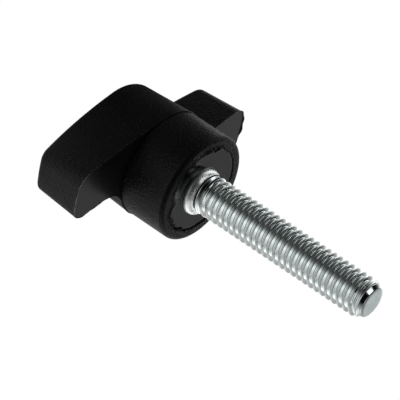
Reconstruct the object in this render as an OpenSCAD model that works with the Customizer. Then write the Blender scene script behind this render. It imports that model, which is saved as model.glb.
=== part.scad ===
// Wing clamping knob: a moulded two-winged knob on a threaded steel stud.
//
// The knob stands on its arched back with the stud upright. The modules draw it from the
// hub's flat front face: z = 0 is that face, the stud points to +z, and the wings lie behind
// the parting plane at z = -hub_front. The nodes then move down by the collar's length, so
// that the origin is on the stud's axis where the thread leaves the collar.

/* [Stud] */
// Outside diameter of the stud's thread
stud_d = 6; // [4:0.5:6.5]
// Length of the stud from the hub's front face to its tip
stud_len = 30; // [15:1:60]
// Length of the cone at the stud's tip
tip_cone = 0.9; // [0.3:0.1:1.5]
// Diameter of the plain collar where the stud leaves the plastic
collar_d = 7; // [6.5:0.25:9]
// How far the collar stands out of the hub's front face
collar_len = 1; // [0.7:0.1:3]
// Width of the bevel that leads from the collar down to the thread
collar_bevel = 0.45; // [0.1:0.05:0.5]

/* [Root] */
// Depth of the stud's root inside the hub
root_len = 11; // [8:0.5:13]
// Length of the plain part of the root, next to the hub's face
root_plain = 2.2; // [1:0.1:3]
// Width of the neck that locks the root in lengthwise
neck_w = 1.8; // [1:0.1:3]
// Depth of the neck below the collar's surface
neck_depth = 0.75; // [0.4:0.05:1]
// Diameter over the ridges of the root's knurl
knurl_d = 8; // [7:0.25:10]
// Depth of the knurl's grooves
knurl_depth = 0.4; // [0.2:0.05:0.6]
// Number of ridges round the knurl
knurl_count = 24; // [12:1:36]
// Length of the plain pilot behind the knurl
pilot_len = 0.6; // [0.3:0.1:1.5]
// How far the pilot lies below the knurl's grooves
pilot_relief = 0.2; // [0.1:0.05:0.5]

/* [Hub] */
// Diameter of the hub
hub_d = 16; // [14:0.5:20]
// Length of the hub in front of the parting plane
hub_front = 7.5; // [5:0.5:12]
// Radius of the hub's front edge
front_edge_r = 0.6; // [0.3:0.1:0.9]
// Diameter of the smooth disc left by the mould's core
core_d = 13; // [10:0.25:13.5]
// How far the core disc is sunk below the front face
core_sink = 0.12; // [0.05:0.01:0.3]

/* [Wings] */
// Width over both wing tips
wing_span = 34.7; // [30:0.1:50]
// Thickness of a wing
wing_t = 7; // [5:0.5:8]
// Depth of the wings behind the parting plane, at the knob's axis
wing_depth = 9.2; // [7:0.1:14]
// Radius of the arched back
crown_r = 82; // [60:1:200]
// Draft of the wings' sides, in degrees
draft = 2.75; // [0.5:0.25:3]
// Radius round the edge of the back
back_edge_r = 0.7; // [0.4:0.1:1.1]
// Radius of the tip's corner on the side that runs tangent to the hub
outer_corner_r = 2.2; // [1.8:0.1:3]
// Radius of the tip's corner on the side that meets the hub in a notch
inner_corner_r = 1.9; // [1.7:0.1:2.4]
// Radius of the notch between wing and hub
notch_r = 3.5; // [1.5:0.1:4]
// Step between the two mould halves at the parting line
parting_step = 0.1; // [0.05:0.01:0.2]

/* [Hidden] */
$fn = 96;

// Points on each stretch of half the wings' outline
tip_points = 8;
corner_points = 6;
side_points = 10;
notch_points = 7;
hub_points = 12;
// Rings that round the edge of the back
edge_rings = 6;
// How far the hub's core reaches behind the parting plane, into the wings' solid
hub_overlap = 1;

stud_r = stud_d / 2;
collar_r = collar_d / 2;
// The bevel never cuts below the thread's outside diameter
bevel = min(collar_bevel, collar_r - stud_r);
neck_r = collar_r - neck_depth;
knurl_r = knurl_d / 2;
pilot_r = knurl_r - knurl_depth - pilot_relief;
hub_r = hub_d / 2;
core_r = core_d / 2;
tip_r = wing_span / 2;
// The moulding behind the parting plane is larger all round by the parting step
back_hub_r = hub_r + parting_step;
// Distance of a wing's notch side from the knob's axis
notch_side = back_hub_r - wing_t;

// --- Plan of the wings ------------------------------------------------------------------
// Wing A points to +x. Its outer side runs tangent to the hub at y = -back_hub_r, and its
// notch side lies at y = -notch_side. Wing B is wing A turned half a turn.

// Centre of a corner with radius r that touches the tip's arc from inside, "across" below
// the x axis
function corner_centre(r, across) = [sqrt(pow(tip_r - r, 2) - pow(across, 2)), -across];

outer_c = corner_centre(outer_corner_r, back_hub_r - outer_corner_r);
inner_c = corner_centre(inner_corner_r, notch_side + inner_corner_r);
// The notch's circle touches the hub from outside and the wing's notch side from above
notch_up = notch_r - notch_side;
notch_c = [sqrt(pow(back_hub_r + notch_r, 2) - pow(notch_up, 2)), notch_up];

function bearing(p) = atan2(p.y, p.x);

// "n" points on an arc, without its last one
function arc(centre, r, from, to, n) =
    [for (i = [0 : n - 1]) let (a = from + (to - from) * i / n) centre + r * [cos(a), sin(a)]];

// "n" points on a straight line, without its last one
function line(from, to, n) = [for (i = [0 : n - 1]) from + (to - from) * i / n];

// The plan's lower side, from the tip of wing B to the tip of wing A, shrunk by "inset"
function lower_side(inset) =
    let (
        outer_y = inset - back_hub_r,
        inner_y = notch_side + inset,
        tangent_points = hub_points + notch_points + side_points - corner_points
    )
    concat(
        arc(-inner_c, inner_corner_r - inset, bearing(inner_c) + 180, 270, tip_points),
        line([-inner_c.x, inner_y], [-notch_c.x, inner_y], side_points),
        arc(-notch_c, notch_r + inset, 90, bearing(notch_c), notch_points),
        arc([0, 0], back_hub_r - inset, bearing(notch_c) + 180, 270, hub_points),
        line([0, outer_y], [outer_c.x, outer_y], tangent_points),
        arc(outer_c, outer_corner_r - inset, -90, bearing(outer_c), corner_points),
        arc([0, 0], tip_r - inset, bearing(outer_c), bearing(inner_c), tip_points)
    );

function plan(inset) = let (side = lower_side(inset)) concat(side, [for (p = side) -p]);

// --- Body behind the parting plane --------------------------------------------------------
// The arched back falls away from the axis towards both tips
function crown_drop(x) = crown_r - sqrt(pow(crown_r, 2) - pow(x, 2));

// Inset of the centre line of the back edge's rounding, which touches the drafted side
edge_inset = back_edge_r * cos(draft)
           + tan(draft) * (wing_depth - back_edge_r * (1 - sin(draft)));

// One ring of the back edge's rounding: a = draft on the side, a = 90 on the back
function edge_ring(a) =
    [for (p = plan(edge_inset - back_edge_r * cos(a)))
        [p.x, p.y, crown_drop(p.x) + back_edge_r * (1 - sin(a)) - hub_front - wing_depth]];

front_ring = [for (p = plan(0)) [p.x, p.y, -hub_front]];
edge_angles = [for (i = [0 : edge_rings]) draft + (90 - draft) * i / edge_rings];
rings = concat([front_ring], [for (a = edge_angles) edge_ring(a)]);

module wings() {
    around = len(front_ring);
    half = around / 2;
    walls = [for (k = [0 : len(rings) - 2], i = [0 : around - 1])
        let (j = (i + 1) % around)
        [k * around + i, k * around + j, (k + 1) * around + j, (k + 1) * around + i]];
    // Both ends are closed by strips that join the two sides of the plan, tip to tip
    front = [for (i = [0 : half - 2]) [around - 1 - i, around - 2 - i, i + 1, i]];
    last = (len(rings) - 1) * around;
    back = [for (strip = front) [for (k = [3 : -1 : 0]) last + strip[k]]];
    polyhedron([for (ring = rings) each ring], concat(walls, front, back), convexity = 6);
}

// --- Hub in front of the parting plane ----------------------------------------------------
module hub_profile() {
    difference() {
        union() {
            translate([0, -hub_front - hub_overlap])
                square([hub_r, hub_front + hub_overlap - front_edge_r]);
            translate([0, -2 * front_edge_r])
                square([hub_r - front_edge_r, 2 * front_edge_r]);
            translate([hub_r - front_edge_r, -front_edge_r])
                circle(front_edge_r);
        }
        translate([-1, -core_sink])
            square([core_r + 1, 1]);
    }
}

module hub() {
    rotate_extrude()
        hub_profile();
}

// --- Stud -----------------------------------------------------------------------------------
// Everything turned on the stud, from the pilot inside the hub to the tip
module turned_profile() {
    neck_z = -root_plain - neck_w;
    polygon([
        [0, -root_len], [pilot_r, -root_len], [pilot_r, neck_z],
        [neck_r, neck_z], [neck_r, -root_plain], [collar_r, -root_plain],
        [collar_r, collar_len - bevel], [collar_r - bevel, collar_len],
        [stud_r, collar_len], [stud_r, stud_len - tip_cone],
        [stud_r - tip_cone, stud_len], [0, stud_len]
    ]);
}

// Straight knurl: ridges and grooves all round, along the root
module knurl() {
    translate([0, 0, pilot_len - root_len])
        linear_extrude(root_len - pilot_len - root_plain - neck_w)
            polygon([for (i = [0 : 2 * knurl_count - 1])
                (knurl_r - knurl_depth * (i % 2))
                    * [cos(180 * i / knurl_count), sin(180 * i / knurl_count)]]);
}

module stud() {
    rotate_extrude()
        turned_profile();
    knurl();
}

// --- Pieces ---------------------------------------------------------------------------------
module from_collar_end() {
    translate([0, 0, -collar_len])
        children();
}

module knob_body() {
    color("#2a2b2b")
        from_collar_end()
            difference() {
                union() {
                    wings();
                    hub();
                }
                stud();
            }
}

module threaded_stud() {
    color("#c9ccd0")
        from_collar_end()
            stud();
}

knob_body();
threaded_stud();
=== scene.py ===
"""Wing clamping knob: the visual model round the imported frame.

Lengths are in millimetres until a mesh or an object is made. As in the part's source, both
pieces are drawn from the hub's front face, z = 0, with the stud pointing to +z. They move down
by the collar's length when their meshes are made, which puts them in the frame.
"""
import math

import bpy
import numpy as np
from mathutils import Matrix, Vector

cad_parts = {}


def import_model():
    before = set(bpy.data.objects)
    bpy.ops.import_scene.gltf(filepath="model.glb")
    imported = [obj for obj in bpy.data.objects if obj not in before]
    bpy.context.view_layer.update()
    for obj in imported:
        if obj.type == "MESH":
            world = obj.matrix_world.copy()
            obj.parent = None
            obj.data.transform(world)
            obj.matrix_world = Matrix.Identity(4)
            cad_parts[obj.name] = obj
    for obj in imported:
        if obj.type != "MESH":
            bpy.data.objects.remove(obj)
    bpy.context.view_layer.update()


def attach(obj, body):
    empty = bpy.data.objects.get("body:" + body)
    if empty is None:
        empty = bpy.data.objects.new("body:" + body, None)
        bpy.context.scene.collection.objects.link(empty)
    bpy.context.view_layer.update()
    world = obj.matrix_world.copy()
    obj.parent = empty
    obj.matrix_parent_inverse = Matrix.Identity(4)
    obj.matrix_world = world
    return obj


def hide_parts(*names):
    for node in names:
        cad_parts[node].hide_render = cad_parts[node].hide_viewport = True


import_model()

MM = 0.001
# Every wave draws from this, one after the other
rng = np.random.default_rng(11)

# --- Sizes of the part, as in its source ----------------------------------------------------
STUD_R = 3.0
STUD_LEN = 30.0
TIP_CONE = 0.9
COLLAR_R = 3.5
COLLAR_LEN = 1.0
ROOT_LEN = 11.0
ROOT_PLAIN = 2.2
NECK_W = 1.8
NECK_R = 2.75
KNURL_R = 4.0
KNURL_DEPTH = 0.4
KNURL_COUNT = 24
PILOT_LEN = 0.6
PILOT_R = 3.4
HUB_R = 8.0
HUB_FRONT = 7.5
FRONT_EDGE_R = 0.6
CORE_R = 6.5
CORE_SINK = 0.12
TIP_R = 17.35
WING_T = 7.0
WING_DEPTH = 9.2
CROWN_R = 82.0
DRAFT = math.radians(2.75)
BACK_EDGE_R = 0.7
OUTER_CORNER_R = 2.2
INNER_CORNER_R = 1.9
NOTCH_R = 3.5
BACK_HUB_R = 8.1
NOTCH_SIDE = BACK_HUB_R - WING_T

# --- Sizes of what only the visual model has ------------------------------------------------
# How far below the parting plane the flash starts
FLASH_FOOT = 0.16
# Bearing and width, in degrees, of the stretches where the flash is torn: on one wing's tip,
# and where the other wing leaves the hub. The tips are what lies farther out than the reach.
TORN_TIP = (163, 8)
TORN_SIDE = (-58, 22)
TIP_REACH = 12
# By how many times its size the flash grows outwards and upwards where it is torn
TORN_OUT = 2.6
TORN_UP = 1.2
# How far inside the outline the flat fronts of the wings start
FRONT_INSET = 0.08
# The two rings of the crease at the hub's foot: how far inside the hub's side each one is, and
# how high over the parting plane
CREASE = ((0.07, -0.12), (0.05, 0.05))
# Radii of the last two rings of the matt front face, outside the witness edge
MATT_RING_R = (7.25, 7.15)
# The witness edge is rough and open along two stretches, and nearly closed between them. Each
# stretch has its share of openness, its bearing and its width in degrees.
CLOSED_SHARE = 0.08
OPEN_STRETCHES = ((1.0, 18, 45), (0.85, -112, 26))
# A notch and two tongues of the edge: how far each reaches outwards, its bearing and its width
EDGE_MARKS = ((0.25, -129, 5), (-0.7, -13, 9), (-0.25, 48, 5))
# Mean depth of the edge's groove below the disc, and mean height of its lip over the face
EDGE_DEPTH = 0.25
EDGE_LIP = 0.1
# Height by which the collar, and the hole round it, are back on the axis
COLLAR_FOOT = -0.7
# Gap between the stud's plain root and its socket
ROOT_GAP = 0.01
# The collar sits off the thread's axis, towards a bearing of 36 degrees
COLLAR_SHIFT = 0.24 * np.array([math.cos(math.radians(36)), math.sin(math.radians(36))])
# Radius and height of the collar's soft turned form
COLLAR_PROFILE = ((3.49, -CORE_SINK), (3.5, 0.05), (3.48, 0.2), (3.42, 0.38),
                  (3.33, 0.54), (3.22, 0.68), (3.1, 0.8), (3.0, 0.87))
# The thread: its pitch, its radii over crest and groove, and half the width of its crest
PITCH = 1.0
CREST_R = 2.91
GROOVE_R = 2.37
CREST_HALF = 0.07
# How far the crest is rounded down at its edges
CREST_ROUND = 0.012
# Radius that the thread fades to at the collar, and over what length
RUN_OUT_R = 2.93
RUN_OUT_LEN = 1.7
# Radius that the thread fades to before the tip's cone, and where, measured back from the tip
BLANK_R = 2.66
BLANK_FROM = 1.3
BLANK_TO = 0.75
# How far before the tip the thread's strip ends
THREAD_STOP = 0.1
# Bearing at which the crest line starts, half a pitch above the collar's end
THREAD_START = math.radians(62)
# Radius and height over the tip of the end face's rings, and the height of its middle
END_PROFILE = ((2.08, -0.065), (1.94, -0.028), (1.78, -0.006),
               (1.6, 0.0), (1.2, -0.006), (0.4, -0.02))
END_MIDDLE = -0.02

# --- Fineness of the meshes -----------------------------------------------------------------
# Points on each stretch of half the wings' outline
TIP_POINTS = 20
SIDE_POINTS = 36
NOTCH_POINTS = 26
HUB_POINTS = 60
CORNER_POINTS = 18
TANGENT_POINTS = HUB_POINTS + NOTCH_POINTS + SIDE_POINTS - CORNER_POINTS
# Points of half the outline that belong to a wing, of the whole half, and of the outline
WING_POINTS = TANGENT_POINTS + CORNER_POINTS + 2 * TIP_POINTS + SIDE_POINTS + NOTCH_POINTS
HALF_OUTLINE = HUB_POINTS + WING_POINTS
OUTLINE = 2 * HALF_OUTLINE
# Rings round an edge, up the drafted sides, up the hub's side and in over the core disc
EDGE_RINGS = 12
SIDE_RINGS = 12
HUB_RINGS = 20
DISC_RINGS = 11
BACK_STRIPS = 16
# Points round the stud
TURN = 144
# Distances from the crest line, in pitches, at which half the thread's profile has a point
PROFILE = (0.035, 0.065, 0.1, 0.2, 0.31, 0.375, 0.415, 0.455)
ACROSS = np.array([-0.5] + [-a for a in reversed(PROFILE)] + [0.0] + list(PROFILE))
# The stretches of the profile that are flanks, which take a brighter copy of the zinc as painted
# highlight
FLANKS = ((-0.375, -0.065), (0.1, 0.375))

# Material slots of the two pieces
GRAINED, SMOOTH, DISC, RING = range(4)
THREAD, COLLAR, END, FLANK = range(4)


# --- Tools for shapes -----------------------------------------------------------------------
def wave(angles, terms, size, low=1):
    """A smooth random wave round a circle: harmonics from low up, about -size to size."""
    out = np.zeros_like(angles)
    total = 0.0
    for k in range(low, low + terms):
        weight = 1.0 / (1.0 + 0.04 * k)
        out += weight * np.cos(k * angles + rng.uniform(0, 2 * math.pi))
        total += weight * weight
    return out * size / math.sqrt(total)


def bell(off, wide):
    """1 at no offset, falling away over the width."""
    return np.exp(-(off / wide) ** 2)


def smooth_step(x, low, high):
    """0 up to low, 1 from high on, and a soft rise between them."""
    t = np.clip((x - low) / (high - low), 0, 1)
    return t * t * (3 - 2 * t)


def unit(bearings):
    """Unit vectors at bearings in radians, one a row."""
    return np.column_stack([np.cos(bearings), np.sin(bearings)])


def scaled(rows, r):
    """Rows of vectors times one number, or times a number each."""
    return rows * np.reshape(r, (-1, 1))


class Skin:
    """A closed mesh in the making. It grows ring by ring, and each face has a material slot."""

    def __init__(self):
        self.points = []
        self.faces = []
        self.slots = []
        self.last = []
        self.last_slot = None

    def add_points(self, xy, z):
        """Adds points at one height, or at a height each, and returns their numbers."""
        first = len(self.points)
        self.points.extend(np.column_stack([xy, np.broadcast_to(z, (len(xy),))]))
        return list(range(first, len(self.points)))

    def add_face(self, corners, slot):
        """Adds a face. A point that follows itself counts once."""
        corners = [c for i, c in enumerate(corners) if c != corners[i - 1]]
        if len(corners) > 2:
            self.faces.append(corners)
            self.slots.append(slot)

    def start(self, ring, slot):
        """Makes a ring the last one. The slot is that of the faces from it to the next."""
        self.last = ring
        self.last_slot = slot

    def ring(self, xy, z, slot):
        """Adds a ring, joins it to the last one, if there is one, and makes it the last."""
        ring = self.add_points(xy, z)
        if self.last:
            below = self.last + self.last[:1]
            above = ring + ring[:1]
            for corners in zip(below, below[1:], above[1:], above):
                self.add_face(corners, self.last_slot)
        self.start(ring, slot)
        return ring

    def cap(self, ring, z, slot):
        """Closes a ring with a fan from the axis. The first ring is given in reverse."""
        middle = self.add_points([(0, 0)], z)[0]
        for a, b in zip(ring, ring[1:] + ring[:1]):
            self.add_face((a, b, middle), slot)

    def strip(self, line, following, slots):
        """Joins two lines of points, with a slot for each face."""
        for *corners, slot in zip(line, following, following[1:], line[1:], slots):
            self.add_face(corners, slot)

    def make_piece(self, name, materials):
        points = np.array(self.points)
        points[:, 2] -= COLLAR_LEN
        mesh = bpy.data.meshes.new(name)
        mesh.from_pydata([tuple(p) for p in points * MM], [], self.faces)
        for m in materials:
            mesh.materials.append(m)
        mesh.polygons.foreach_set("material_index", np.array(self.slots, dtype=np.int32))
        mesh.polygons.foreach_set("use_smooth", np.ones(len(self.faces), dtype=bool))
        mesh.validate()
        mesh.update()
        piece = bpy.data.objects.new(name, mesh)
        bpy.context.collection.objects.link(piece)
        return piece


def root_profile(bearings):
    """Radius and height of the rings of the stud's root, from its neck to its end."""
    ridge = np.mod(np.degrees(bearings) * KNURL_COUNT / 360, 1)
    knurl = KNURL_R - KNURL_DEPTH * (1 - np.abs(2 * ridge - 1))
    neck_z = -ROOT_PLAIN - NECK_W
    pilot_z = PILOT_LEN - ROOT_LEN
    return ((NECK_R, -ROOT_PLAIN), (NECK_R, neck_z), (knurl, neck_z),
            (knurl, pilot_z), (PILOT_R, pilot_z), (PILOT_R, -ROOT_LEN))


# --- Outline of the wings -------------------------------------------------------------------
def arc(centre, r, start, end, n):
    """n points on an arc, without its last one."""
    a = np.radians(start + (end - start) * np.arange(n) / n)
    return np.array(centre) + r * unit(a)


def line(start, end, n):
    """n points on a straight line, without its last one."""
    share = np.arange(n)[:, None] / n
    return np.array(start) + (np.array(end) - np.array(start)) * share


def bearing(p):
    return math.degrees(math.atan2(p[1], p[0]))


def corner_centre(r, across):
    """Centre of a corner that touches the tip's arc from inside."""
    return np.array([math.sqrt((TIP_R - r) ** 2 - across ** 2), -across])


OUTER_C = corner_centre(OUTER_CORNER_R, BACK_HUB_R - OUTER_CORNER_R)
INNER_C = corner_centre(INNER_CORNER_R, NOTCH_SIDE + INNER_CORNER_R)
# The notch's circle touches the hub from outside and the wing's notch side from above
NOTCH_UP = NOTCH_R - NOTCH_SIDE
NOTCH_C = np.array([math.sqrt((BACK_HUB_R + NOTCH_R) ** 2 - NOTCH_UP ** 2), NOTCH_UP])


def plan(inset):
    """The wings' outline, shrunk by inset."""
    inner_y = NOTCH_SIDE + inset
    outer_y = inset - BACK_HUB_R
    side = np.vstack([
        arc(-INNER_C, INNER_CORNER_R - inset, bearing(INNER_C) + 180, 270, TIP_POINTS),
        line([-INNER_C[0], inner_y], [-NOTCH_C[0], inner_y], SIDE_POINTS),
        arc(-NOTCH_C, NOTCH_R + inset, 90, bearing(NOTCH_C), NOTCH_POINTS),
        arc([0, 0], BACK_HUB_R - inset, bearing(NOTCH_C) + 180, 270, HUB_POINTS),
        line([0, outer_y], [OUTER_C[0], outer_y], TANGENT_POINTS),
        arc(OUTER_C, OUTER_CORNER_R - inset, -90, bearing(OUTER_C), CORNER_POINTS),
        arc([0, 0], TIP_R - inset, bearing(OUTER_C), bearing(INNER_C), TIP_POINTS),
    ])
    return np.vstack([side, -side])


def hub_bearings():
    """The bearing on the hub's side, in radians, that each point of the outline leads to."""
    notch = bearing(NOTCH_C)
    hub = notch + 180 + (90 - notch) * np.arange(HUB_POINTS) / HUB_POINTS
    wing = 270 + (90 + notch) * np.arange(WING_POINTS) / WING_POINTS
    half = np.concatenate([hub, wing])
    whole = np.concatenate([half, half + 180])
    return np.radians(np.roll(whole, TIP_POINTS + SIDE_POINTS + NOTCH_POINTS))


HUB_BEARINGS = hub_bearings()
HUB_CIRCLE = unit(HUB_BEARINGS)


# --- Knob body ------------------------------------------------------------------------------
def back_z(x):
    """Height of the arched back at a distance along the wings from the axis."""
    return CROWN_R - np.sqrt(CROWN_R ** 2 - x ** 2) - HUB_FRONT - WING_DEPTH


def back_edge_and_sides(skin):
    """The back's rounded edge and the drafted sides. Returns the ring where the back starts."""
    side_foot = WING_DEPTH - BACK_EDGE_R * (1 - math.sin(DRAFT))
    edge_inset = BACK_EDGE_R * math.cos(DRAFT) + math.tan(DRAFT) * side_foot
    rings = []
    for a in np.linspace(math.pi / 2, DRAFT, EDGE_RINGS):
        xy = plan(edge_inset - BACK_EDGE_R * math.cos(a))
        z = back_z(xy[:, 0]) + BACK_EDGE_R * (1 - math.sin(a))
        rings.append(skin.ring(xy, z, GRAINED))
    foot = np.array([skin.points[p] for p in rings[-1]])
    top = np.column_stack([plan(0), np.full(OUTLINE, -HUB_FRONT - FLASH_FOOT)])
    for share in np.linspace(0, 1, SIDE_RINGS + 1)[1:]:
        ring = foot + (top - foot) * share
        skin.ring(ring[:, :2], ring[:, 2], GRAINED)
    return rings[0]


def arched_back(skin, rim):
    """Closes the back with strips from one half of its rim to the other."""
    lower = rim[:HALF_OUTLINE]
    upper = rim[HALF_OUTLINE:][::-1]
    lower_xy, upper_xy = (np.array([skin.points[p][:2] for p in half]) for half in (lower, upper))
    lines = [lower]
    for k in range(1, BACK_STRIPS):
        xy = lower_xy + (upper_xy - lower_xy) * k / BACK_STRIPS
        lines.append(skin.add_points(xy, back_z(xy[:, 0])))
    lines.append(upper)
    for one, following in zip(lines, lines[1:]):
        skin.strip(one, following, [GRAINED] * HALF_OUTLINE)
    # The ends of the strips, at the tips of the two wings
    skin.add_face([one[0] for one in reversed(lines)], GRAINED)
    skin.add_face([one[-1] for one in lines], GRAINED)


def flash(skin):
    """The parting line: a thin ragged bead that is torn in two places."""
    along = np.linspace(0, 2 * math.pi, OUTLINE, endpoint=False)
    # How far the bead stands out of the side, and how high over the parting plane
    bead = np.clip(0.045 + wave(along, 70, 0.035, 12), 0.0, 0.16)
    lift = np.clip(0.035 + wave(along, 60, 0.03, 9), 0.0, 0.13)
    base = plan(0)
    bearings = np.degrees(np.arctan2(base[:, 1], base[:, 0]))
    at_tip, at_side = (bell(bearings - at, wide) for at, wide in (TORN_TIP, TORN_SIDE))
    torn = np.where(np.hypot(base[:, 0], base[:, 1]) > TIP_REACH, at_tip, at_side)
    bead *= 1 + TORN_OUT * torn
    lift *= 1 + TORN_UP * torn
    # The bead's section, from below up
    outward = plan(-1) - base
    skin.ring(base + scaled(outward, 0.35 * bead), -HUB_FRONT - 0.07, GRAINED)
    skin.ring(base + scaled(outward, bead), -HUB_FRONT - 0.02 + lift, GRAINED)
    skin.ring(base + scaled(outward, 0.4 * bead - 0.05), -HUB_FRONT + 0.8 * lift, GRAINED)


def wing_fronts(skin):
    """The flat fronts of the wings, from the flash in to the hub's foot."""
    start = plan(FRONT_INSET)
    way = HUB_CIRCLE * HUB_R - start
    for share in (0.0, 0.03, 0.1, 0.22, 0.36, 0.5, 0.64, 0.78, 0.9, 0.97, 1.0):
        skin.ring(start + way * share, -HUB_FRONT, SMOOTH)


def hub_side(skin):
    """The crease at the hub's foot, its side and its rounded front edge."""
    for inward, up in CREASE:
        skin.ring(HUB_CIRCLE * (HUB_R - inward), up - HUB_FRONT, GRAINED)
    for up in (0.1, *np.linspace(0.3, HUB_FRONT - FRONT_EDGE_R, HUB_RINGS)):
        skin.ring(HUB_CIRCLE * HUB_R, up - HUB_FRONT, GRAINED)
    for a in np.linspace(0, math.pi / 2, EDGE_RINGS)[1:]:
        r = HUB_R - FRONT_EDGE_R * (1 - math.cos(a))
        skin.ring(HUB_CIRCLE * r, FRONT_EDGE_R * (math.sin(a) - 1), RING)


def near(at, wide):
    """1 at a bearing of the hub, falling away over the width, both in degrees."""
    return bell(np.mod(np.degrees(HUB_BEARINGS) - at + 180, 360) - 180, wide)


def front_face(skin):
    """The matt ring, the ragged witness edge and the sunk core disc, in to the collar."""
    opened = sum((size * near(at, width) for size, at, width in OPEN_STRETCHES), CLOSED_SHARE)
    opened = np.clip(opened, 0, 1.1)
    wide = 1 + 0.8 * opened
    ragged = wave(HUB_BEARINGS, 46, 0.1, 7) + wave(HUB_BEARINGS, 5, 0.05)
    ragged *= 0.4 + 0.6 * opened
    ragged += sum(size * near(at, width) for size, at, width in EDGE_MARKS)
    border = CORE_R + np.clip(ragged, -0.9, 0.4)
    deep = np.clip(EDGE_DEPTH + wave(HUB_BEARINGS, 40, 0.12, 5), 0.0, 0.5) * opened
    lip = np.clip(EDGE_LIP + wave(HUB_BEARINGS, 60, 0.09, 5), 0.0, 0.3) * opened
    for r in MATT_RING_R:
        skin.ring(HUB_CIRCLE * r, 0.0, RING)
    # The edge's section from outside in: offset from the border, height and material
    for off, z, slot in (
            (0.12 * wide, 0.0, RING),
            (0.08, 0.1 * lip, RING),
            (0.05, lip, RING),
            (0.0, 0.9 * lip, RING),
            (-0.05, -CORE_SINK - deep, RING),
            (-0.2 * wide, -CORE_SINK - 0.7 * deep, DISC),
            (-0.27 * wide, -CORE_SINK, DISC)):
        skin.ring(scaled(HUB_CIRCLE, border + off), z, slot)
    # The disc is very slightly dished, and its inner end meets the shifted collar
    rim = border - 0.27 * wide
    for share in np.linspace(0, 1, DISC_RINGS + 1)[1:]:
        xy = scaled(HUB_CIRCLE, rim + (COLLAR_R - rim) * share) + COLLAR_SHIFT * share
        skin.ring(xy, -CORE_SINK - 0.01 * math.sin(math.pi * share), DISC)


def socket(skin):
    """The hidden socket that the stud's root fills."""
    for r, z in ((COLLAR_R, COLLAR_FOOT), (COLLAR_R, -ROOT_PLAIN), *root_profile(HUB_BEARINGS)):
        skin.ring(scaled(HUB_CIRCLE, r), z, DISC)
    skin.cap(skin.last, -ROOT_LEN, DISC)


def knob_body(materials):
    skin = Skin()
    rim = back_edge_and_sides(skin)
    arched_back(skin, rim)
    flash(skin)
    wing_fronts(skin)
    hub_side(skin)
    front_face(skin)
    socket(skin)
    return skin.make_piece("knob_body_skin", materials)


# --- Threaded stud --------------------------------------------------------------------------
def turn_bearings(first):
    """Bearings of the points of one turn, which starts so many points past THREAD_START."""
    return THREAD_START + 2 * math.pi * (first + np.arange(TURN)) / TURN


def thread_radius(bearings, z):
    """Radius of the threaded shank at bearings in radians and at heights."""
    crest = COLLAR_LEN + PITCH * (0.5 + (bearings - THREAD_START) / (2 * math.pi))
    off = np.abs(np.mod(z - crest + PITCH / 2, PITCH) - PITCH / 2)
    # Each flank leans by 30 degrees
    r = np.clip(CREST_R - (off - CREST_HALF) * math.sqrt(3), GROOVE_R, CREST_R)
    r -= CREST_ROUND * np.clip(off / CREST_HALF, 0, 1) ** 4 * (off < CREST_HALF + 0.02)
    r = RUN_OUT_R + (r - RUN_OUT_R) * smooth_step(z, COLLAR_LEN, COLLAR_LEN + RUN_OUT_LEN)
    r += (BLANK_R - r) * smooth_step(z, STUD_LEN - BLANK_FROM, STUD_LEN - BLANK_TO)
    return np.minimum(r, STUD_R - TIP_CONE + STUD_LEN - z)


def root_and_collar(skin):
    """The stud from the end of its root to the foot of the thread."""
    bearings = turn_bearings(0)
    circle = unit(bearings)
    root = [skin.ring(scaled(circle, r), z, THREAD) for r, z in reversed(root_profile(bearings))]
    skin.cap(root[0][::-1], -ROOT_LEN, THREAD)
    for z in (-ROOT_PLAIN, COLLAR_FOOT):
        skin.ring(circle * (COLLAR_R - ROOT_GAP), z, COLLAR)
    # The collar's front is slightly uneven
    jag = wave(bearings, 30, 0.022, 4)
    for r, z in COLLAR_PROFILE:
        uneven = jag * smooth_step(z, 0.3, 0.95)
        skin.ring(scaled(circle, r + uneven) + COLLAR_SHIFT, z + uneven, COLLAR)
    # A narrow groove parts the collar from the thread
    groove = circle * (RUN_OUT_R - 0.06) + 0.3 * COLLAR_SHIFT
    skin.ring(groove, COLLAR_LEN - 0.02 + 0.5 * jag, THREAD)
    skin.ring(scaled(circle, thread_radius(bearings, COLLAR_LEN)), COLLAR_LEN, THREAD)


def thread(skin):
    """The threaded shank: one strip that follows the helix up from the last ring.

    Column k of the strip stands k points round the stud and climbs one pitch. Its top point is
    the lowest point of the column one turn on. The first turn and the last one are cut off
    level, so that each narrows to a point. Returns the number of the last full column.
    """
    foot = skin.last
    rise = ACROSS + 0.5
    full = int((STUD_LEN - THREAD_STOP - COLLAR_LEN - PITCH) * TURN / PITCH)
    top_z = COLLAR_LEN + PITCH * (full / TURN + 1)

    def column(k, z):
        at = THREAD_START + 2 * math.pi * k / TURN
        return skin.add_points(np.outer(thread_radius(at, z), (math.cos(at), math.sin(at))), z)

    columns = {-TURN: [foot[0]] * len(rise)}
    for k in range(1 - TURN, full + TURN):
        low = COLLAR_LEN + PITCH * max(k, 0) / TURN
        high = COLLAR_LEN + PITCH * (min(k, full) / TURN + 1)
        z = low + (high - low) * rise
        columns[k] = column(k, z) if k > 0 else [foot[k % TURN]] + column(k, z[1:])
    columns[full + TURN] = column(full, np.array([top_z])) * len(rise)
    # The top point of each column
    for k in range(-TURN, full + 1):
        columns[k].append(columns[k + TURN][0])
    for k in range(full + 1, full + TURN):
        columns[k] += column(k, np.array([top_z]))
    columns[full + TURN].append(columns[full + TURN][0])
    # Flank faces take the brighter zinc that paints their highlights
    slots = [FLANK if any(low <= a < high for low, high in FLANKS) else THREAD for a in ACROSS]
    for k in range(-TURN, full + TURN):
        skin.strip(columns[k], columns[k + 1], slots)
    skin.start([columns[k][-1] for k in range(full, full + TURN)], END)
    return full


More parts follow.
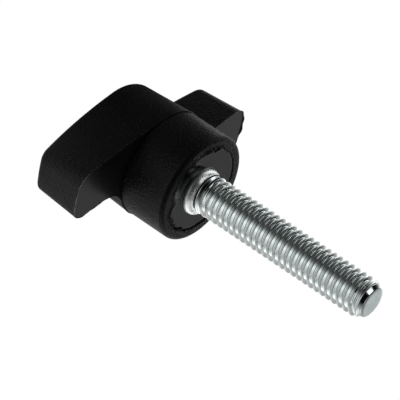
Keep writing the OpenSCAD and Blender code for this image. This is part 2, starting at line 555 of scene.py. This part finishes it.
def end_face(skin, first):
    """The turned end of the stud, from the ring at the thread's top in to the axis."""
    circle = unit(turn_bearings(first))
    for r, z in END_PROFILE:
        skin.ring(circle * r, STUD_LEN + z, END)
    skin.cap(skin.last, STUD_LEN + END_MIDDLE, END)


def threaded_stud(materials):
    skin = Skin()
    root_and_collar(skin)
    full = thread(skin)
    end_face(skin, full)
    return skin.make_piece("threaded_stud_skin", materials)


# --- Materials ------------------------------------------------------------------------------
class Nodes:
    """A short way to write a node tree."""

    def __init__(self, tree):
        self.tree = tree

    def add(self, kind, **settings):
        node = self.tree.nodes.new("ShaderNode" + kind)
        for key, value in settings.items():
            setattr(node, key, value)
        return node

    def feed(self, socket, value):
        """Links an output to a socket, or sets the socket's own value. None leaves it."""
        if isinstance(value, bpy.types.NodeSocket):
            self.tree.links.new(value, socket)
        elif value is not None:
            socket.default_value = value

    def math(self, operation, a, b=None):
        node = self.add("Math", operation=operation)
        self.feed(node.inputs[0], a)
        self.feed(node.inputs[1], b)
        return node.outputs[0]

    def vector(self, operation, a, b=None):
        node = self.add("VectorMath", operation=operation)
        self.feed(node.inputs[0], a)
        self.feed(node.inputs[1], b)
        return node.outputs["Value" if operation == "DOT_PRODUCT" else "Vector"]

    def scale_to(self, value, low, high, to_low, to_high):
        node = self.add("MapRange", clamp=True)
        self.feed(node.inputs["Value"], value)
        self.feed(node.inputs["From Min"], low)
        self.feed(node.inputs["From Max"], high)
        self.feed(node.inputs["To Min"], to_low)
        self.feed(node.inputs["To Max"], to_high)
        return node.outputs["Result"]


class Material(Nodes):
    """A material on the Principled shader, with its patterns in the object's coordinates."""

    def __init__(self, name):
        self.material = bpy.data.materials.new(name)
        self.material.use_nodes = True
        super().__init__(self.material.node_tree)
        self.shader = self.tree.nodes["Principled BSDF"]
        self.place = self.add("TexCoord").outputs["Object"]

    def set(self, **values):
        """Feeds the shader's sockets, whose names are written with _ for a space."""
        for key, value in values.items():
            self.feed(self.shader.inputs[key.replace("_", " ")], value)

    def noise(self, per_metre, detail, rough):
        node = self.add("TexNoise")
        self.feed(node.inputs["Vector"], self.place)
        self.feed(node.inputs["Scale"], per_metre)
        self.feed(node.inputs["Detail"], detail)
        self.feed(node.inputs["Roughness"], rough)
        return node.outputs["Fac"]

    def bump(self, height, strength, metres, below=None):
        node = self.add("Bump")
        self.feed(node.inputs["Height"], height)
        self.feed(node.inputs["Strength"], strength)
        self.feed(node.inputs["Distance"], metres)
        self.feed(node.inputs["Normal"], below)
        return node.outputs["Normal"]

    def mix(self, share, a, b):
        """A colour between a and b, which are the node's inputs 6 and 7."""
        node = self.add("Mix", data_type="RGBA")
        self.feed(node.inputs[0], share)
        self.feed(node.inputs[6], a)
        self.feed(node.inputs[7], b)
        return node.outputs[2]


BLACK = (0.006, 0.006, 0.0062)


def plastic(name, grain, rough, specular):
    """Black glass-filled plastic, from polished, grain 0, to spark-eroded, grain 1."""
    m = Material(name)
    fine = m.noise(6000, detail=2, rough=0.6)
    coarse = m.noise(3200, detail=2, rough=0.5)
    cloud = m.scale_to(m.noise(260, detail=3, rough=0.55), 0.35, 0.65, 0, 1)
    # Sparse pale specks in the base colour: partly dust, and partly painted glints of the glass
    # fibres
    speck = m.scale_to(m.noise(5200, detail=1, rough=0.5), 0.72, 0.8, 0, 1)
    dark, light = (tuple(c * k for c in BLACK) + (1,) for k in (0.8, 1.25))
    dust_and_glint = (0.05 * grain + 0.006,) * 3 + (1,)
    spread = 0.03 + 0.07 * grain
    pits = m.bump(coarse, grain, metres=0.00016)
    m.set(Base_Color=m.mix(speck, m.mix(cloud, dark, light), dust_and_glint),
          Roughness=m.scale_to(coarse, 0.36, 0.64, rough + spread, rough - spread),
          Normal=m.bump(fine, grain, metres=0.00005, below=pits),
          Specular_IOR_Level=specular)
    return m.material


def zinc(name, grain, rough, dull, bright):
    """Bright zinc plating with a faint blue passivation, spangled between two tones."""
    m = Material(name)
    spangle = m.noise(1500, detail=3, rough=0.6)
    fine = m.noise(5200, detail=2, rough=0.5)
    m.set(Base_Color=m.mix(m.scale_to(spangle, 0.35, 0.65, 0, 1), dull + (1,), bright + (1,)),
          Roughness=m.scale_to(spangle, 0.3, 0.7, rough - 0.03, rough + 0.06),
          Normal=m.bump(fine, 0.25 * grain, metres=0.00002),
          Metallic=1.0)
    return m.material


def knob_materials():
    """In the order of the slots GRAINED, SMOOTH, DISC and RING."""
    return [plastic("grained_plastic", grain=1.0, rough=0.34, specular=0.22),
            plastic("smooth_plastic", grain=0.05, rough=0.24, specular=0.3),
            plastic("core_disc_plastic", grain=0.05, rough=0.1, specular=0.21),
            plastic("ring_plastic", grain=0.8, rough=0.38, specular=0.09)]


def stud_materials():
    """In the order of the slots THREAD, COLLAR, END and FLANK."""
    return [zinc("zinc_thread", 0.3, 0.09, dull=(0.54, 0.60, 0.595), bright=(0.71, 0.78, 0.77)),
            # The collar's zinc is rougher than the thread's, a real frosted finish, and its
            # near-white colour is painted light that brightens the collar
            zinc("zinc_collar_painted_light", 2.5, 0.36, dull=(0.86, 0.91, 0.90), bright=(0.98, 1.0, 0.99)),
            zinc("zinc_end", 0.5, 0.25, dull=(0.57, 0.66, 0.65), bright=(0.75, 0.84, 0.82)),
            # The flanks' zinc is a brighter copy of the thread's, which paints the bright streaks
            # of their highlights
            zinc("zinc_flank_painted_highlight", 0.2, 0.06, dull=(0.85, 0.90, 0.89), bright=(0.93, 0.98, 0.97))]


# --- Studio: floor, light and camera --------------------------------------------------------
# The floor lies under the arched back. It is square, and half its side is in metres.
FLOOR_Z = -(COLLAR_LEN + HUB_FRONT + WING_DEPTH)
FLOOR_HALF = 1.5
# What the camera sees of the floor's own white, and the share that it takes over the lit floor
WHITE = 1.055
SEEN_SHARE = 0.94
# The studio's light by direction is a dim tent with soft bright sides. A side has an azimuth and
# an elevation in degrees, a brightness, and how narrow it is across and in height.
TENT = 0.012
SIDES = (
    # Below the horizon, where glossy and metal faces see the floor
    (138, -25, 0.62, 6.5, 3.5),
    (166, -24, 0.7, 30.0, 6.0),
    (321, -18, 0.6, 8.4, 12.0),
    (350, -25, 0.75, 2.65, 5.0),
    (95, -25, 0.6, 1.0, 6.0),
    # Low strips near the horizon
    (120, 0, 1.1, 0.8, 60.0),
    (197, 9, 2.2, 4.0, 60.0),
    (68, 4, 1.1, 2.5, 40.0),
    # Higher sides
    (130, 24, 0.58, 5.0, 14.0),
    (55, 28, 0.84, 3.5, 5.0),
    (234, 20, 0.4, 8.0, 14.0),
)
# A black flag over the knob: where its middle is, how far from there it is solid and where it
# ends, all in degrees, and the share of the light that it lets through
FLAG_AZIMUTH = 250
FLAG_ELEVATION = 60
FLAG_SOLID = 46
FLAG_END = 54
FLAG_LEAK = 0.06
# The camera: its place in metres, the direction it looks in and its turn about that direction in
# degrees, and its lens and sensor in millimetres
CAMERA_PLACE = Vector((0.1757292, -0.2397054, 0.1539528))
CAMERA_AZIMUTH = 126.0
CAMERA_ELEVATION = -27.439375
CAMERA_TURN = 123.7
CAMERA_LENS = 222.87
CAMERA_SENSOR = 36.0


def heading(azimuth, elevation):
    """Unit vector of an azimuth and an elevation in degrees."""
    az, el = math.radians(azimuth), math.radians(elevation)
    return Vector((math.cos(el) * math.cos(az), math.cos(el) * math.sin(az), math.sin(el)))


def studio_light(m, direction):
    """Brightness of the studio in a direction."""
    total = TENT
    for azimuth, elevation, brightness, across, height in SIDES:
        narrow = (math.sqrt(across), math.sqrt(across), math.sqrt(height))
        off = m.vector("SUBTRACT", direction, heading(azimuth, elevation))
        off = m.vector("MULTIPLY", off, narrow)
        far = m.vector("DOT_PRODUCT", off, off)
        fall = m.math("EXPONENT", m.math("MULTIPLY", far, -1.0))
        total = m.math("ADD", m.math("MULTIPLY", fall, brightness), total)
    to_flag = m.vector("DOT_PRODUCT", direction, heading(FLAG_AZIMUTH, FLAG_ELEVATION))
    end, solid = (math.cos(math.radians(a)) for a in (FLAG_END, FLAG_SOLID))
    return m.math("MULTIPLY", total, m.scale_to(to_flag, end, solid, 1.0, FLAG_LEAK))


def floor():
    """A pale floor that is white for the camera and keeps the knob's shadow."""
    m = Material("floor_white")
    m.set(Base_Color=(0.85, 0.85, 0.85, 1), Roughness=0.9, Specular_IOR_Level=0.0)
    ray = m.add("LightPath").outputs
    by_camera = ray["Is Camera Ray"]
    mirrored = m.math("MAXIMUM", ray["Is Glossy Ray"], ray["Is Transmission Ray"])
    # Metal and gloss see the floor as the studio's sides light it
    lit = m.math("MULTIPLY", mirrored, studio_light(m, m.vector("NORMALIZE", m.place)))
    glow = m.add("Emission")
    m.feed(glow.inputs["Strength"], m.math("ADD", m.math("MULTIPLY", by_camera, WHITE), lit))
    mixed = m.add("MixShader")
    seen = m.math("MAXIMUM", mirrored, by_camera)
    m.feed(mixed.inputs[0], m.math("MULTIPLY", seen, SEEN_SHARE))
    m.feed(mixed.inputs[1], m.shader.outputs[0])
    m.feed(mixed.inputs[2], glow.outputs[0])
    m.feed(m.tree.nodes["Material Output"].inputs["Surface"], mixed.outputs[0])
    half, z = FLOOR_HALF, FLOOR_Z * MM
    mesh = bpy.data.meshes.new("floor")
    corners = [(-half, -half, z), (half, -half, z), (half, half, z), (-half, half, z)]
    mesh.from_pydata(corners, [], [(0, 1, 2, 3)])
    mesh.materials.append(m.material)
    obj = bpy.data.objects.new("floor", mesh)
    bpy.context.collection.objects.link(obj)


def camera():
    data = bpy.data.cameras.new("camera")
    data.sensor_width = CAMERA_SENSOR
    data.lens = CAMERA_LENS
    data.clip_end = 10.0
    obj = bpy.data.objects.new("camera", data)
    aim = heading(CAMERA_AZIMUTH, CAMERA_ELEVATION).to_track_quat("-Z", "Y").to_matrix()
    turn = aim @ Matrix.Rotation(math.radians(CAMERA_TURN), 3, "Z")
    obj.matrix_world = Matrix.Translation(CAMERA_PLACE) @ turn.to_4x4()
    bpy.context.collection.objects.link(obj)
    bpy.context.scene.camera = obj


def world():
    """The studio round the knob: white for the camera, its soft sides for everything else."""
    bpy.context.scene.world = bpy.data.worlds.new("studio")
    bpy.context.scene.world.use_nodes = True
    m = Nodes(bpy.context.scene.world.node_tree)
    # Inputs 2 and 3 are the two numbers that the node mixes
    shown = m.add("Mix", data_type="FLOAT")
    m.feed(shown.inputs[0], m.add("LightPath").outputs["Is Camera Ray"])
    m.feed(shown.inputs[2], studio_light(m, m.add("TexCoord").outputs["Generated"]))
    m.feed(shown.inputs[3], 1.0)
    sky = m.tree.nodes["Background"]
    m.feed(sky.inputs["Color"], (1, 1, 1, 1))
    m.feed(sky.inputs["Strength"], shown.outputs[0])


def softbox(name, azimuth, elevation, distance, size, power):
    """A round area light aimed at the knob, in degrees, metres and watts."""
    light = bpy.data.lights.new(name, "AREA")
    light.shape = "DISK"
    light.size = size
    light.energy = power
    out = heading(azimuth, elevation)
    obj = bpy.data.objects.new(name, light)
    obj.location = out * distance
    obj.rotation_euler = (-out).to_track_quat("-Z", "Y").to_euler()
    bpy.context.collection.objects.link(obj)


# --- The scene ------------------------------------------------------------------------------
body = knob_body(knob_materials())
stud = threaded_stud(stud_materials())
for piece, node in ((body, "knob_body"), (stud, "threaded_stud")):
    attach(piece, "root")
    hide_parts(node)

floor()
camera()
world()
softbox("overhead_softbox", 60, 78, distance=0.7, size=0.35, power=0.18)
softbox("side_softbox", 235, 50, distance=0.7, size=0.4, power=0.52)
bpy.context.scene.view_settings.view_transform = "Standard"
